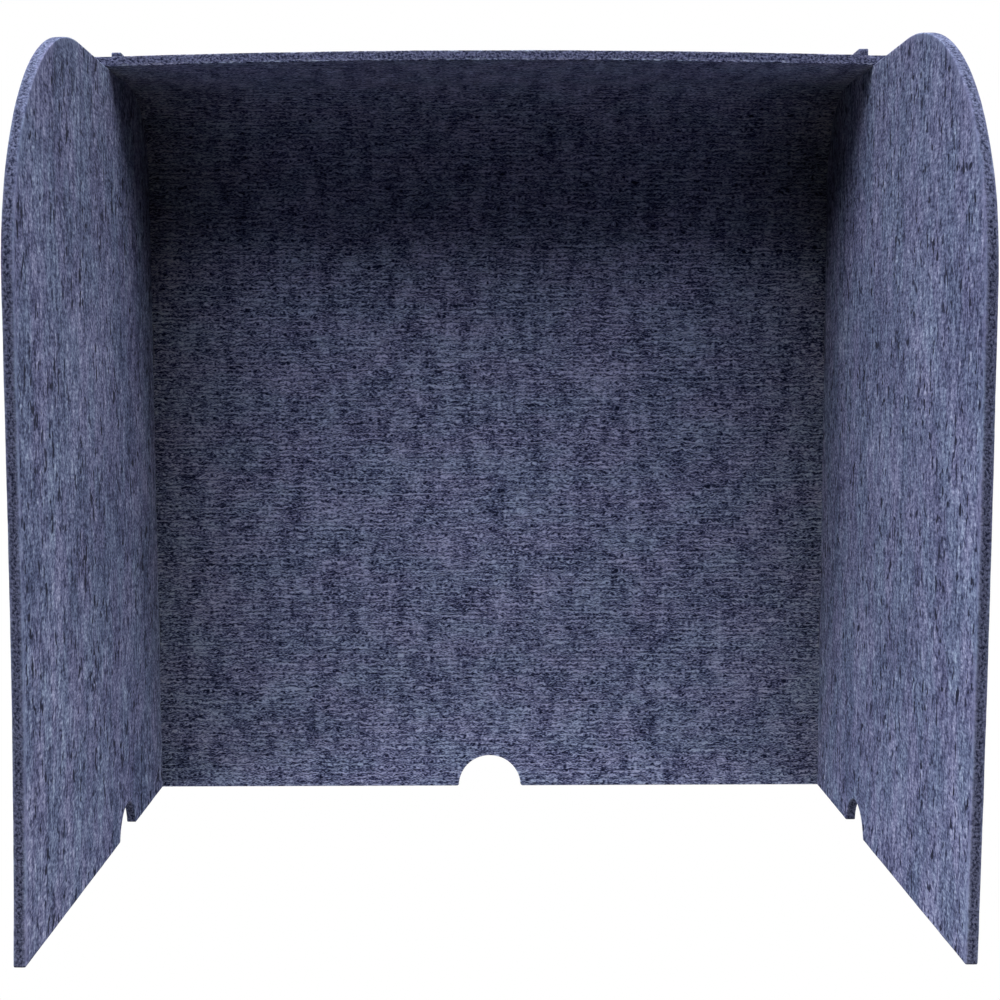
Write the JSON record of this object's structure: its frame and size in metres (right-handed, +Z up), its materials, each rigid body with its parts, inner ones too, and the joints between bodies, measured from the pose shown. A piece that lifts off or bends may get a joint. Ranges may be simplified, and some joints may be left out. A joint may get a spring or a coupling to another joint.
{
  "type": "desktop study carrel",
  "caption": "Free-standing desktop study carrel of stiff felt: a back bent over into a half roof, slotted onto rounded side panels with half-round cable notches.",
  "frame": {"origin": "bottom centre of the whole carrel, tabs included, on the desk surface it stands on", "axes": "+Z up; the open front faces -Y and the back sheet is at +Y; +X to the right of someone facing the open front"},
  "size_m": [0.77, 0.5386, 0.7565],
  "materials": {
    "felt": "heathered grey-lavender pressed polyester felt, matte, streaked along each sheet"
  },
  "bodies": {
    "root": {"back_and_roof_sheet": "felt", "left_side_panel": "felt", "right_side_panel": "felt"}
  },
  "joints": []
}
